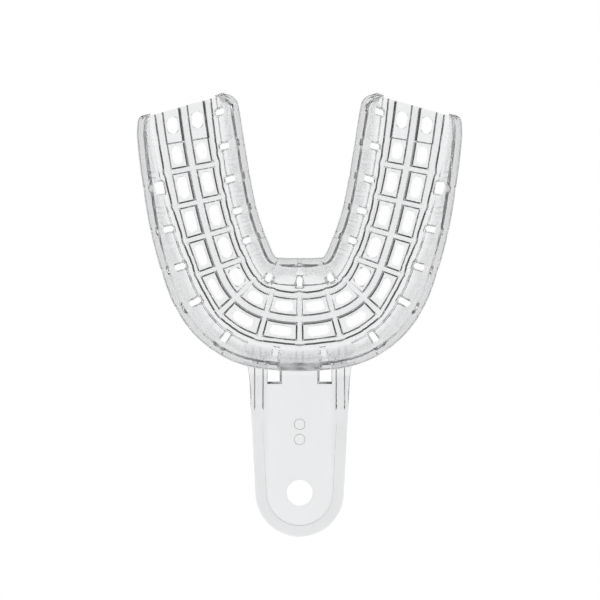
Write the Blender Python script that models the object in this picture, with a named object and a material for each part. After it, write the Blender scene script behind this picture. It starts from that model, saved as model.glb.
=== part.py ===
"""Lower full-arch dental impression tray, moulded in one shot of clear plastic with a flat handle.

The trough opens upwards (+Z), the arms point along +Y and the handle along -Y. X is the left-right axis
and the tray is symmetric about X = 0. Every zone of the moulding is a closed solid of its own: floor,
ribs, flanges, rim beads and handle. Neighbouring zones meet on one shared plane or vertical wall.

Places on the arch are given by two numbers in millimetres: s runs along the centreline from the midline
towards a heel (negative on the left), and d is the sideways distance from that line, positive outwards.
"""

import math

import bpy
from mathutils import Vector
from mathutils.geometry import tessellate_polygon

MM = 0.001

# Arch centreline from the midline to a heel, as tangent arcs: radius in mm, sweep in degrees.
ARCH_ARCS = ((29.2, 17.3), (14.8, 41.5), (20.6, 10.5), (113.7, 7.3), (218.8, 9.5))
HEEL_S = 63.3                # where the centreline meets the slanted heel cut
HEEL_SLANT = 0.16            # how much shorter the arm is per mm outwards
MITRE_START_S = 55.2         # the last square section; the slant grows from here to the heel
LONGEST_STEP = 2.4           # longest straight step of any line along the arch

# Rib grid, on the floor's underside. One cross rib every CELL_PITCH, counted from the midline.
CELL_PITCH = 8.1
CROSS_RIBS_PER_SIDE = 6
RIB_WIDTH = 1.6
MIDDLE_RIB_WIDTH = 2.0
CROSS_RIB_WIDTH = 1.4
RIB_HEIGHT = 1.2             # the tray rests on the ribs, so this is also the floor's lower side
FLOOR_TOP_Z = 2.9

# Sideways distance to the trough's two edges, as (s, d) points joined by a smooth curve.
BUCCAL_EDGE = ((0.0, 6.1), (9.0, 6.7), (20.0, 6.1), (40.0, 6.5), (64.0, 6.9))
LINGUAL_EDGE = ((0.0, 6.1), (7.5, 5.9), (14.5, 6.6), (24.0, 6.1), (38.0, 5.6), (50.0, 5.9), (66.0, 6.6))

# Sideways distance to the outer limit of each rim bead.
BUCCAL_RIM = ((0.0, 12.3), (12.0, 13.1), (30.0, 12.8), (45.0, 12.3), (57.0, 11.7), (60.0, 11.2), (62.0, 9.9))
LINGUAL_RIM = ((0.0, 14.2), (9.0, 13.5), (15.0, 13.1), (25.0, 12.6), (33.0, 12.2), (42.0, 12.4),
               (52.0, 12.9), (61.0, 12.7), (63.5, 12.1), (65.6, 10.6))

# Flange section.
FLANGE_FOOT = 1.6
FLANGE_WALL = 1.3
RIM_BASE_Z = 10.4
RIM_TOP_Z = 12.0
BEAD_WIDTH = 2.1
BEAD_CHAMFER = 0.45
BEAD_INSET = 0.4             # from the bead's outer limit to the flange's outer face below it

# Flange slots: s of each slot's centre with its width, and the heights of its lower and upper ends.
BUCCAL_SLOTS = ((4.4, 1.4), (13.0, 1.4), (20.0, 1.4), (27.3, 1.4), (35.9, 1.4), (45.4, 3.0))
LINGUAL_SLOTS = ((0.0, 1.4), (11.4, 1.4), (28.2, 1.4), (36.1, 1.4), (44.1, 1.4), (52.3, 1.4), (60.0, 1.4))
NOTCH_HALF = 0.7             # half the length of the notch that each slot cuts in the rim bead
NOTCH_RAMP = 0.3             # length of the slope at each end of a notch
SLOT_LOW_Z = 4.2
SLOT_HIGH_Z = 8.0

# Floor holes: one per cell, as lengths along s and d, with a corner radius.
HOLE_LENGTH = 4.9
HOLE_WIDTH = 2.6
HOLE_CORNER = 1.2
HEEL_HOLE_LENGTH = 3.8
HEEL_HOLE_WIDTH = 2.8
CORNER_STEPS = 3

# Handle. Y is measured from the centreline's midline point.
HANDLE_LOW_Z = 1.2
HANDLE_TOP_Z = 3.2
HANDLE_ROOT_HALF = 12.1
HANDLE_END_HALF = 10.45
HANDLE_END_Y = -41.1         # centre of the round end and of the hanging hole
HANG_HOLE_RADIUS = 3.0
RAIL_INNER_X = 8.5
RAIL_OUTER_X = 10.7
RAIL_REAR_Y = -10.6
RAIL_FRONT_Y = -22.0
END_RIM_WIDTH = 1.9
END_RIM_HEIGHT = 0.8
WINDOW_INNER_X = 4.7
WINDOW_OUTER_X = 7.5
WINDOW_REAR_Y = -9.3
WINDOW_FRONT_Y = -14.9
END_STEPS = 24
HOLE_STEPS = 24

CLEAR_PLASTIC = (0.93, 0.95, 0.96, 0.35)


# ---------------------------------------------------------------- arch geometry

def curve_value(points, s):
    """Smooth interpolation through (s, value) points, with Hermite tangents from the neighbours."""
    s = min(max(abs(s), points[0][0]), points[-1][0])
    i = 0
    while i < len(points) - 2 and s > points[i + 1][0]:
        i += 1
    (s0, v0), (s1, v1) = points[i], points[i + 1]
    before = points[i - 1] if i else (2 * s0 - s1, v1)
    after = points[i + 2] if i + 2 < len(points) else (2 * s1 - s0, v1 + (v1 - v0))
    slope0 = (v1 - before[1]) / (s1 - before[0])
    slope1 = (after[1] - v0) / (after[0] - s0)
    t = (s - s0) / (s1 - s0)
    span = s1 - s0
    return (v0 * (1 + 2 * t) * (1 - t) ** 2 + slope0 * span * t * (1 - t) ** 2
            + v1 * t * t * (3 - 2 * t) - slope1 * span * t * t * (1 - t))


def centreline(s):
    """Point and direction angle of the arch centreline at distance s from the midline."""
    x = y = angle = 0.0
    left = s
    for radius, sweep in ARCH_ARCS:
        turn = min(left / radius, math.radians(sweep))
        x += radius * (math.sin(angle + turn) - math.sin(angle))
        y -= radius * (math.cos(angle + turn) - math.cos(angle))
        angle += turn
        left -= radius * turn
        if left <= 1e-9:
            break
    return x + left * math.cos(angle), y + left * math.sin(angle), angle


def arch_point(s, d):
    """World x, y in mm of the place at s along the arch and d sideways; s < 0 is the left half."""
    x, y, angle = centreline(mitred(abs(s), d))
    side = -1.0 if s < 0 else 1.0
    return side * (x + d * math.sin(angle)), y - d * math.cos(angle)


def mitred(s, d):
    """Lean a section over towards the heel, so that the arm ends on the slanted cut."""
    lean = max(0.0, (s - MITRE_START_S) / (HEEL_S - MITRE_START_S))
    return s - HEEL_SLANT * d * lean


def sorted_stations(marks, longest_step):
    """The marks on one half of the arch, with more stations between them, mirrored to the other half."""
    half = [marks[0]]
    for mark in marks[1:]:
        pieces = max(1, math.ceil((mark - half[-1]) / longest_step - 1e-6))
        start = half[-1]
        half += [start + (mark - start) * n / pieces for n in range(1, pieces + 1)]
    return [-s for s in reversed(half) if s > 0] + half


def arch_stations(slots=()):
    """Stations along the arch, with both sides of every cross rib and of every given slot among them."""
    marks = {0.0, MITRE_START_S, HEEL_S - 2.4, HEEL_S}
    for n in range(CROSS_RIBS_PER_SIDE + 1):
        marks.update(abs(n * CELL_PITCH + side * CROSS_RIB_WIDTH / 2) for side in (-1, 1))
    marks = {abs(s) for s in sorted_stations(sorted(marks), LONGEST_STEP)}
    for centre, width in slots:
        marks.update(abs(centre + side * width / 2) for side in (-1, 1))
    return sorted_stations(sorted(marks), LONGEST_STEP)


def rim_stations(slots):
    """Stations of a rim bead, with the foot and the head of each notch's two short ramps among them."""
    marks = {0.0, MITRE_START_S, HEEL_S - 2.4, HEEL_S}
    for centre, _ in slots:
        for reach in (NOTCH_HALF, NOTCH_HALF + NOTCH_RAMP):
            marks.update(abs(centre + side * reach) for side in (-1, 1))
    return sorted_stations(sorted(marks), LONGEST_STEP)


# ---------------------------------------------------------------- solids

def clear_material(name):
    material = bpy.data.materials.new(name + "_plastic")
    material.use_nodes = True
    shader = material.node_tree.nodes["Principled BSDF"]
    shader.inputs["Base Color"].default_value = CLEAR_PLASTIC[:3] + (1.0,)
    shader.inputs["Roughness"].default_value = 0.08
    shader.inputs["Metallic"].default_value = 0.0
    shader.inputs["IOR"].default_value = 1.57
    shader.inputs["Transmission Weight"].default_value = 1.0
    return material


def add_object(name, points_mm, faces):
    mesh = bpy.data.meshes.new(name)
    mesh.from_pydata([Vector(p) * MM for p in points_mm], [], faces)
    mesh.materials.append(clear_material(name))
    obj = bpy.data.objects.new(name, mesh)
    bpy.context.collection.objects.link(obj)
    return obj


def signed_area(loop):
    return sum(a[0] * b[1] - b[0] * a[1] for a, b in zip(loop, loop[1:] + loop[:1])) / 2


def plate(name, outline, holes, low_z, high_z):
    """A flat plate with vertical walls between two heights, from an outline and its holes."""
    loops = [outline if signed_area(outline) > 0 else outline[::-1]]
    loops += [hole if signed_area(hole) < 0 else hole[::-1] for hole in holes]
    flat = [point for loop in loops for point in loop]
    count = len(flat)
    points = [(x, y, low_z) for x, y in flat] + [(x, y, high_z) for x, y in flat]
    faces = []
    for a, b, c in tessellate_polygon([[Vector((x, y, 0.0)) for x, y in loop] for loop in loops]):
        if signed_area([flat[a], flat[b], flat[c]]) < 0:
            b, c = c, b
        faces += [(a, c, b), (a + count, b + count, c + count)]
    first = 0
    for loop in loops:
        for i in range(len(loop)):
            a = first + i
            b = first + (i + 1) % len(loop)
            faces.append((a, b, b + count, a + count))
        first += len(loop)
    return add_object(name, points, faces)


def sweep(name, stations, section, slots=(), slot_band=None):
    """A solid swept along the arch.

    section(s) gives the section's (d, z) corners at s, in order. Each slot is a hole through the wall:
    slot_band is (i, j), the section's edges from corner i to i + 1 and from corner j to j + 1 that the
    hole opens through.
    """
    rings = [[(*arch_point(s, d), z) for d, z in section(s)] for s in stations]
    corners = len(rings[0])
    points = [point for ring in rings for point in ring]
    faces = []
    for r in range(len(rings) - 1):
        middle = (stations[r] + stations[r + 1]) / 2
        is_slot = any(abs(abs(middle) - centre) < width / 2 for centre, width in slots)
        here = r * corners
        there = here + corners
        for c in range(corners):
            n = (c + 1) % corners
            if not (is_slot and c in slot_band):
                faces.append((here + c, there + c, there + n, here + n))
        if is_slot:
            i, j = slot_band
            inner = (here + i, there + i, there + i + 1, here + i + 1)
            outer = (here + j + 1, there + j + 1, there + j, here + j)
            for k in range(4):
                m = (k + 1) % 4
                faces.append((inner[k], inner[m], outer[m], outer[k]))
    faces.append(tuple(range(corners)))
    faces.append(tuple(len(points) - 1 - c for c in range(corners)))
    obj = add_object(name, points, faces)
    face_outwards(obj)
    return obj


def face_outwards(obj):
    """Turn every face over if the closed mesh is inside out."""
    mesh = obj.data
    mesh.calc_loop_triangles()
    volume = 0.0
    for triangle in mesh.loop_triangles:
        a, b, c = (mesh.vertices[v].co for v in triangle.vertices)
        volume += a.dot(b.cross(c))
    if volume < 0:
        mesh.flip_normals()


# ---------------------------------------------------------------- trough

def arch_line(stations, distance):
    """Points along the arch at the sideways distance that distance(s) gives."""
    return [arch_point(s, distance(s)) for s in stations]


def between(outer_line, inner_line):
    """Closed outline between two lines along the arch."""
    return outer_line + inner_line[::-1]


def buccal_edge(s):
    return curve_value(BUCCAL_EDGE, s)


def lingual_edge(s):
    return -curve_value(LINGUAL_EDGE, s)


def rounded_hole(s, d, length, width, corner):
    """A rounded rectangle centred on (s, d), its length along the arch."""
    points = []
    for along, across, start in ((1, 1, 0), (-1, 1, 90), (-1, -1, 180), (1, -1, 270)):
        for step in range(CORNER_STEPS + 1):
            angle = math.radians(start + 90 * step / CORNER_STEPS)
            points.append(arch_point(s + along * (length / 2 - corner) + corner * math.cos(angle),
                                     d + across * (width / 2 - corner) + corner * math.sin(angle)))
    return points


def floor_holes():
    """One hole in the middle of every cell, in an outer and an inner column on each side."""
    holes = []
    for side in (-1, 1):
        for edge in (buccal_edge, lingual_edge):
            for n in range(CROSS_RIBS_PER_SIDE + 1):
                s = (n + 0.5) * CELL_PITCH
                # A hole turns with the arch, so on a tight bend its inner side is squeezed along s.
                stretch = stretch_at(s, edge(s) / 2)
                width = HOLE_WIDTH
                length = min(HOLE_LENGTH * 1.15, HOLE_LENGTH * stretch) / stretch
                corner = min(HOLE_CORNER, length / 2 - 0.1)
                holes.append(rounded_hole(side * s, edge(s) / 2, length, width, corner))
            s = MITRE_START_S + 4.4
            holes.append(rounded_hole(side * s, edge(s) / 2, HEEL_HOLE_LENGTH, HEEL_HOLE_WIDTH,
                                      HEEL_HOLE_WIDTH / 2 - 0.1))
    return holes


def stretch_at(s, d):
    """How much longer a step along s is at distance d than on the centreline."""
    near = arch_point(s - 0.5, d)
    far = arch_point(s + 0.5, d)
    return math.dist(near, far)


def build_trough():
    stations = arch_stations()
    buccal_line = arch_line(arch_stations(BUCCAL_SLOTS), buccal_edge)
    lingual_line = arch_line(arch_stations(LINGUAL_SLOTS), lingual_edge)
    plate("arch_floor", between(buccal_line, lingual_line), floor_holes(), RIB_HEIGHT, FLOOR_TOP_Z)

    def outer_rib_side(s):
        return buccal_edge(s) - RIB_WIDTH

    def inner_rib_side(s):
        return lingual_edge(s) + RIB_WIDTH

    def middle_rib_outer_side(_):
        return MIDDLE_RIB_WIDTH / 2

    def middle_rib_inner_side(_):
        return -MIDDLE_RIB_WIDTH / 2

    longitudinal = {
        "outer_rib": between(buccal_line, arch_line(stations, outer_rib_side)),
        "middle_rib": between(arch_line(stations, middle_rib_outer_side),
                              arch_line(stations, middle_rib_inner_side)),
        "inner_rib": between(arch_line(stations, inner_rib_side), lingual_line),
    }
    for name, outline in longitudinal.items():
        plate(name, outline, [], 0.0, RIB_HEIGHT)

    columns = {
        "outer": (outer_rib_side, middle_rib_outer_side),
        "inner": (middle_rib_inner_side, inner_rib_side),
    }
    for column, (far, near) in columns.items():
        for n in range(-CROSS_RIBS_PER_SIDE, CROSS_RIBS_PER_SIDE + 1):
            sides = [n * CELL_PITCH - CROSS_RIB_WIDTH / 2, n * CELL_PITCH + CROSS_RIB_WIDTH / 2]
            name = f"cross_rib_{column}_{n + CROSS_RIBS_PER_SIDE + 1:02d}"
            plate(name, between(arch_line(sides, far), arch_line(sides, near)), [], 0.0, RIB_HEIGHT)


# ---------------------------------------------------------------- flanges and rim beads

def flange_section(edge, rim, sign):
    """Corners of a flange: a foot against the trough, and a wall leaning out to the rim bead."""
    def section(s):
        root = abs(edge(s))
        reach = curve_value(rim, s)
        outer_top = reach - BEAD_INSET
        inner_top = outer_top - FLANGE_WALL

        def inner_face(z):
            return root + (inner_top - root) * (z - FLOOR_TOP_Z) / (RIM_BASE_Z - FLOOR_TOP_Z)

        def outer_face(z):
            foot = root + FLANGE_FOOT
            return foot + (outer_top - foot) * (z - HANDLE_TOP_Z) / (RIM_BASE_Z - HANDLE_TOP_Z)

        corners = [(root, RIB_HEIGHT), (root, FLOOR_TOP_Z)]
        corners += [(inner_face(z), z) for z in (SLOT_LOW_Z, SLOT_HIGH_Z, RIM_BASE_Z)]
        corners += [(outer_face(z), z) for z in (RIM_BASE_Z, SLOT_HIGH_Z, SLOT_LOW_Z, HANDLE_TOP_Z)]
        corners.append((root + FLANGE_FOOT, RIB_HEIGHT))
        return [(sign * d, z) for d, z in corners]
    return section


SLOT_BAND = (2, 6)           # the flange section's edges that a slot opens through


def bead_section(rim, slots, sign):
    """Corners of a rim bead: a chamfered bar on top of the flange, cut back to the wall at every slot."""
    def section(s):
        outer = curve_value(rim, s)
        inner = outer - BEAD_WIDTH
        if any(abs(abs(s) - centre) < NOTCH_HALF + 0.01 for centre, _ in slots):
            outer -= BEAD_INSET
            inner = outer - FLANGE_WALL
        corners = [(inner, RIM_BASE_Z), (inner, RIM_TOP_Z - BEAD_CHAMFER), (inner + BEAD_CHAMFER, RIM_TOP_Z),
                   (outer - BEAD_CHAMFER, RIM_TOP_Z), (outer, RIM_TOP_Z - BEAD_CHAMFER), (outer, RIM_BASE_Z)]
        return [(sign * d, z) for d, z in corners]
    return section


def build_flanges():
    sides = {
        "buccal": (buccal_edge, BUCCAL_RIM, BUCCAL_SLOTS, 1),
        "lingual": (lingual_edge, LINGUAL_RIM, LINGUAL_SLOTS, -1),
    }
    for side, (edge, rim, slots, sign) in sides.items():
        sweep(f"{side}_flange", arch_stations(slots), flange_section(edge, rim, sign), slots, SLOT_BAND)
        sweep(f"{side}_rim_bead", rim_stations(slots), bead_section(rim, slots, sign))


# ---------------------------------------------------------------- handle

def handle_half_width(y):
    """Half width of the handle at y, tapering from the root to the round end."""
    root_y = RAIL_REAR_Y
    t = min(1.0, max(0.0, (root_y - y) / (root_y - HANDLE_END_Y)))
    return HANDLE_ROOT_HALF + (HANDLE_END_HALF - HANDLE_ROOT_HALF) * t


def round_end(radius):
    """Half circle round the handle's end, from the right side to the left."""
    angles = [-math.pi * n / END_STEPS for n in range(END_STEPS + 1)]
    return [(radius * math.cos(a), HANDLE_END_Y + radius * math.sin(a)) for a in angles]


def rectangle(x0, x1, y0, y1):
    return [(x0, y0), (x1, y0), (x1, y1), (x0, y1)]


def build_handle():
    def foot_line(s):
        return arch_point(s, buccal_edge(s) + FLANGE_FOOT)

    root = [foot_line(s) for s in arch_stations(BUCCAL_SLOTS) if abs(foot_line(s)[0]) < HANDLE_ROOT_HALF]
    outline = root + [(HANDLE_ROOT_HALF, root[-1][1] - 0.5), (HANDLE_ROOT_HALF, RAIL_REAR_Y)]
    outline += round_end(HANDLE_END_HALF)
    outline += [(-HANDLE_ROOT_HALF, RAIL_REAR_Y), (-HANDLE_ROOT_HALF, root[0][1] - 0.5)]
    circle = [(HANG_HOLE_RADIUS * math.cos(2 * math.pi * n / HOLE_STEPS),
               HANDLE_END_Y + HANG_HOLE_RADIUS * math.sin(2 * math.pi * n / HOLE_STEPS))
              for n in range(HOLE_STEPS)]
    windows = [rectangle(side * WINDOW_INNER_X, side * WINDOW_OUTER_X, WINDOW_FRONT_Y, WINDOW_REAR_Y)
               for side in (-1, 1)]
    plate("handle_plate", outline, [circle] + windows, HANDLE_LOW_Z, HANDLE_TOP_Z)

    for name, side in (("handle_rail_left", -1), ("handle_rail_right", 1)):
        plate(name, rectangle(side * RAIL_INNER_X, side * RAIL_OUTER_X, RAIL_FRONT_Y, RAIL_REAR_Y), [],
              0.0, HANDLE_LOW_Z)

    start_half = handle_half_width(RAIL_FRONT_Y)
    outer = [(start_half, RAIL_FRONT_Y)] + round_end(HANDLE_END_HALF) + [(-start_half, RAIL_FRONT_Y)]
    inner = [(start_half - END_RIM_WIDTH, RAIL_FRONT_Y)] + round_end(HANDLE_END_HALF - END_RIM_WIDTH)
    inner.append((-start_half + END_RIM_WIDTH, RAIL_FRONT_Y))
    plate("handle_end_rim", outer + inner[::-1], [], HANDLE_LOW_Z - END_RIM_HEIGHT, HANDLE_LOW_Z)


def centre_on_origin():
    """Put the origin under the centre of the whole tray's box."""
    ys = [vertex.co.y for obj in bpy.context.collection.objects for vertex in obj.data.vertices]
    shift = -(min(ys) + max(ys)) / 2
    for obj in bpy.context.collection.objects:
        for vertex in obj.data.vertices:
            vertex.co.y += shift


for old in list(bpy.data.objects):
    bpy.data.objects.remove(old, do_unlink=True)
build_trough()
build_flanges()
build_handle()
centre_on_origin()
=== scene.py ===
"""Visual model of a clear one-piece impression tray: a perforated, ribbed trough with slotted walls,
and a flat handle. Lengths below are in millimetres unless a name says otherwise.
"""
import math

import bmesh
import bpy
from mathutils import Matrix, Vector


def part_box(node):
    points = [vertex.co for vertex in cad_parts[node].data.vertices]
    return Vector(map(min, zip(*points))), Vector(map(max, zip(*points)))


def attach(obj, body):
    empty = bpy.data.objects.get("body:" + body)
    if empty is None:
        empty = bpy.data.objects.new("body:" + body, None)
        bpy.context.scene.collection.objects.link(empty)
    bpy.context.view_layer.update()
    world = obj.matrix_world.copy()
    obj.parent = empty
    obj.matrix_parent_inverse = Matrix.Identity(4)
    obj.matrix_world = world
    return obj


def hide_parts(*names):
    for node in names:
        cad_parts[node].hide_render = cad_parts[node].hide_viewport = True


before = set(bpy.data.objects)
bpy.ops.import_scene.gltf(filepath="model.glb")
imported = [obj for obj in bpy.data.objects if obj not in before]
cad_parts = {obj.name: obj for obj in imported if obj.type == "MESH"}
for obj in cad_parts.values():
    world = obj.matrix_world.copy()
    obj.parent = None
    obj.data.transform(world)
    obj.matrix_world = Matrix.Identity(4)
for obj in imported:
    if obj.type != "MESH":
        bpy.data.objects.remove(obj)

MM = 0.001
TINY = 1e-9

# ---------------------------------------------------------------- the CAD model's arch

ARCH_ARCS = ((29.2, 17.3), (14.8, 41.5), (20.6, 10.5), (113.7, 7.3), (218.8, 9.5))
HEEL_S = 63.3
HEEL_SLANT = 0.16
MITRE_START_S = 55.2
STRETCH_STEP = 0.3           # half the step that shows how much longer the arch is beside its centreline
# The arch is measured by s, the length along its centreline from the midline at the front, and d, the
# distance sideways from it. Each curve below goes smoothly through its (s, d) points: the floor's two
# edges, the outer sides of the pockets, and the outer limits of the two rims, which round off at the heels.
BUCCAL_EDGE = ((0, 6.1), (12, 6.4), (20, 5.8), (28, 6.0), (36, 6.4), (44, 6.85), (52, 7.0), (64, 7.1))
LINGUAL_EDGE = ((0, 6.1), (12, 6.1), (20, 6.4), (28, 6.05), (36, 5.95), (44, 6.0), (52, 6.2), (64, 6.5))
BUCCAL_POCKET = ((0, 5.1), (12, 5.28), (20, 4.75), (28, 5.0), (36, 5.2), (64, 5.25))
LINGUAL_POCKET = ((0, 4.7), (12, 4.68), (20, 5.12), (28, 4.9), (36, 4.7), (64, 4.75))
BUCCAL_RIM = ((0, 12.3), (12, 13.1), (30, 12.9), (37, 12.7), (45, 12.26), (57, 11.6), (59.8, 11.15),
              (60.7, 10.9), (61.3, 10.5), (61.7, 10.0))
LINGUAL_RIM = ((0, 14.2), (9, 13.6), (15, 13.3), (25, 12.95), (33, 12.65), (42, 12.8), (52, 13.05),
               (60, 13.0), (62.0, 12.85), (63.2, 12.3), (63.9, 11.6), (64.3, 10.8), (64.6, 9.9))

# ---------------------------------------------------------------- ribs, pockets and holes

CELL_PITCH = 8.1
CELLS_PER_SIDE = 6           # full cells from the midline to the last cross rib
UNDERSIDE_Z = 0.02           # lower side of the ribs and the rails
FLOOR_TOP_Z = 2.9
FLOOR_EDGE = ((0.75, 0.05), (0.45, 0.0))  # outside the floor's edge and above the floor, where the wall begins
FLOOR_MIDDLE_SHIFT = 0.2     # a column between the floor's edge and the pocket is this far in from halfway
RELIEF = 1.18                # depth of the pockets between the ribs
WALL_PLACES = (0.0, 0.29, 0.58, 0.87, 0.95, 1.0)  # columns down a rib's side, as shares of its width
UPRIGHT_HEIGHTS = (0.95, 1.0)                     # heights of the last two, on the nearly upright part
CHAMFER_SLOPE = 1.07         # a rib's side is a slope this steep at its head and nearly upright below
CROSS_RIB_HALF = 0.63        # to the middle of a cross rib's side
CROSS_RUN = 0.42             # width that a cross rib's side takes in plan
# Widths in plan of a half section's rib sides: the edge rib's outer side, the pocket's outer side, and
# the middle rib's side, with its distance from the midline.
BUCCAL_SIDES = (0.5, 0.48, (1.17, 0.74))
LINGUAL_SIDES = (0.5, 0.66, (0.7, 0.46))
RIB_BULGE = 0.25             # how far the edge ribs swell where a cross rib meets them
BULGE_LENGTH = 0.9
POCKET_BULGE_SHARE = 0.6     # the pocket's side follows this much of the swelling
HEEL_STEP_S = 54.95          # past this step the last pockets are deeper
HEEL_STEP_RUN = 0.3
HEEL_STEP_HEIGHT = 0.36
HOLE_SIDE_MARGIN = 0.5       # least width of the pocket's floor beside a hole, and at its ends
HOLE_END_MARGIN = 0.55
LONGEST_HOLE = 5.2
HOLE_CORNER = 1.2
CORNER_ROOM = 0.05           # a hole's corners are at least this much smaller than half its width
HEEL_HOLE_S = 59.5
HEEL_HOLE_LENGTH = 3.9
POCKET_COLUMNS = 7
POCKET_ROWS = 7
POCKET_INSET = 0.14          # how far inside the pocket's foot its hole's block of faces starts
POCKET_START = CROSS_RIB_HALF + CROSS_RUN / 2 + POCKET_INSET
BEFORE_STEP = 0.25           # the blocks of faces end and start this far from the heel step
AFTER_STEP = 0.6
LAST_ROW_BACK = 0.55         # the last row of faces before the rounded end of a heel
CAP_RINGS = ((0.35, 0.0), (0.12, 0.0), (0.03, 0.05), (0.0, 0.16))  # that end: distance from the tip, inset
LEAST_ROW_GAP = 0.015
HALVINGS = 26                # steps of the search for a rounded rectangle's edge

# ---------------------------------------------------------------- walls, slots and rims

REACH_STEPS = 8              # rounds of the search for the rim's place on the slanted heels
RIM_TOP_Z = 12.0
RIM_INSET = 1.0              # how far the rim stands out over the wall's outer side
RIM_BASE_Z = 10.4
RIM_WIDTH = 2.2
RIM_EDGE = (0.3, 0.45)       # width and height of the rim's rounded outer edge
RIM_EDGE_STEPS = 4
RIM_CREST = (0.95, 0.06)     # the rim's top ends this far in from its outer edge and below its height
RIM_SHOULDER = (1.3, 0.42)   # and its inner side starts here
RIM_TOE = (0.3, 0.45)        # the inner side ends this far outside the rim's inner edge and above its base
RIM_INNER_RISE = 0.05        # height of the inner edge over the base
RIM_UNDER_EDGE = ((0.03, 1.25), (0.16, 1.5))  # inset and drop of the lower edge of the rim's lip
LIP_FOOT = (0.4, 0.2)        # inset, and drop from the rim's base, of a place on the lip's lower side
WALL_THICKNESS = 1.3
FACE_DROP = 0.3              # the wall's upper face starts this far below the rim's base
OUTER_DROP = 0.35            # and its outer side this far
WALL_FOOT = (0.95, 0.2)      # the wall's upper face starts this far outside and above the floor's edge
WALL_BEND_SHIFT = 0.9        # from the bend in the inner wall's upper face to the bend in its outer side
OUTER_FOOT = 2.1             # the wall's outer side turns in this far outside the floor's edge
OUTER_FOOT_DROP = 0.25       # on the outer wall this far below the handle's top,
INNER_FOOT_Z = 1.9           # and on the inner wall this high, with a share of the ledge's rise
INNER_FOOT_SHARE = 0.25
OUTER_FOOT_FLAT = 0.9        # and its curve ends flat at this distance
OUTER_FOOT_STEPS = 7
FACE_COLUMNS = 6             # columns in each of the two slopes of the wall's upper face
OUTER_COLUMNS = 5            # and of its outer side
LEDGE_WIDTH = 2.0            # the inner wall's gentle lower slope, wider and lower at the front
LEDGE_RISE = 2.0
FRONT_LEDGE_WIDER = 2.2
FRONT_LEDGE_LOWER = 0.8
FRONT_LEDGE_S = 9.0
# Slots in the walls: place along the arch, nearest and farthest sideways distance, and length along it.
BUCCAL_SLOTS = {4.4: (7.6, 9.3, 1.2), 13.0: (7.75, 10.25, 1.3), 20.0: (7.25, 9.9, 1.3), 27.3: (7.5, 9.8, 1.3),
                35.9: (7.75, 9.75, 1.3), 45.4: (7.75, 9.6, 2.8)}
LINGUAL_SLOTS = {0: (7.6, 9.7, 1.1), 11.4: (7.3, 9.2, 1.2), 28.2: (7.35, 9.1, 1.3), 36.1: (7.0, 9.05, 1.3),
                 44.1: (6.95, 9.15, 1.3), 52.3: (7.1, 9.2, 1.3), 60.0: (7.3, 9.2, 1.3)}
SLOT_CORNER = 0.45
SLOT_ROOM = 0.75             # the block of faces round a slot reaches this far past its ends
FRAMED_SLOTS = (0, 11.4)     # the front inner slots stand in a wider recess
# A notch in the rim above every slot: half its length, its ramps, and how far it cuts down and in.
NOTCH_HALF = 0.7
NOTCH_RAMP = 0.22
NOTCH_DROP = 0.7
NOTCH_INSET = 0.06
NOTCH_EASE = 0.1             # the rim's inner side sinks this much less at its top, and this much at its foot
NOTCH_ROW_GAP = 0.03         # the mesh has rows this far before and after a notch's ramps
GROOVE_DEPTH = 0.25          # the groove in the wall's upper face below a notch

# ---------------------------------------------------------------- handle

HANDLE_LOW_Z = 1.22          # just above the flat under the walls' feet
HANDLE_TOP_Z = 3.2
HANDLE_ROOT_Y = -6.9
HANDLE_ROOT_HALF = 12.1
HANDLE_FLARE_Y = -15.0
HANDLE_FLARE_HALF = 13.4
HANDLE_END_Y = -41.1
HANDLE_END_HALF = 10.45
HANDLE_REAR_D = 7.4          # the handle's rear side is inside the front wall
HANDLE_REAR_S = 9.0
HANDLE_REAR_POINTS = 19
REAR_INSET_SHARE = 0.03      # a ring moves this share of its inset at the rear
HANDLE_STEPS = 30            # points along a side and round a quarter of the end
HANG_HOLE_RADII = (3.12, 2.97)  # below and above
OVERLAP = 0.02               # bodies that are joined go this far into each other
THROUGH_LOW_Z = -1.0         # a cutter that goes right through reaches from here to there
THROUGH_HIGH_Z = 5.0
RAIL_INNER_X = 8.5
RAIL_OUTER_X = 10.7
RAIL_REAR_Y = -10.6
RAIL_FRONT_Y = -22.0
RAIL_FLARE = 0.34            # the rails' sides flare this much where they meet the plate
RAIL_RAMP = 4.0              # and the front end slopes up over this length
RAIL_RAMP_BEND = 0.3         # of which this share lies beside the flare
WINDOW_INNER_X = 4.7
WINDOW_OUTER_X = 7.5
WINDOW_REAR_Y = -9.3
WINDOW_FRONT_Y = -14.9
WINDOW_CHAMFER = 0.6         # height of the leaning part of a window's sides
# How much further the sides reach at its lower end: the inner, outer, front and rear side.
WINDOW_LEAN = (0.55, 0.2, 0.6, 0.2)
ROLL_HEIGHT = 0.36           # the handle's edge is this much thicker below,
ROLL_START_Y = -20.0         # from here on towards the round end,
ROLL_FADE = 5.0              # and it gets thicker over this length
# Rings of the handle's edge: inset and height above.
HANDLE_TOP_EDGE = ((3.2, 3.2), (0.9, 3.2), (0.5, 3.13), (0.22, 2.96), (0.06, 2.7), (0.0, 2.35))
# The same below: inset, height at the root, and share of the thicker edge.
HANDLE_LOW_EDGE = ((0.0, 1.75, 1.0), (0.06, 1.45, 1.0), (0.22, 1.28, 1.0), (0.5, 1.22, 1.0), (2.2, 1.22, 1.0),
                   (2.56, 1.22, 0.94), (2.92, 1.22, 0.12), (3.1, 1.22, 0.0), (3.4, 1.22, 0.0))
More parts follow.
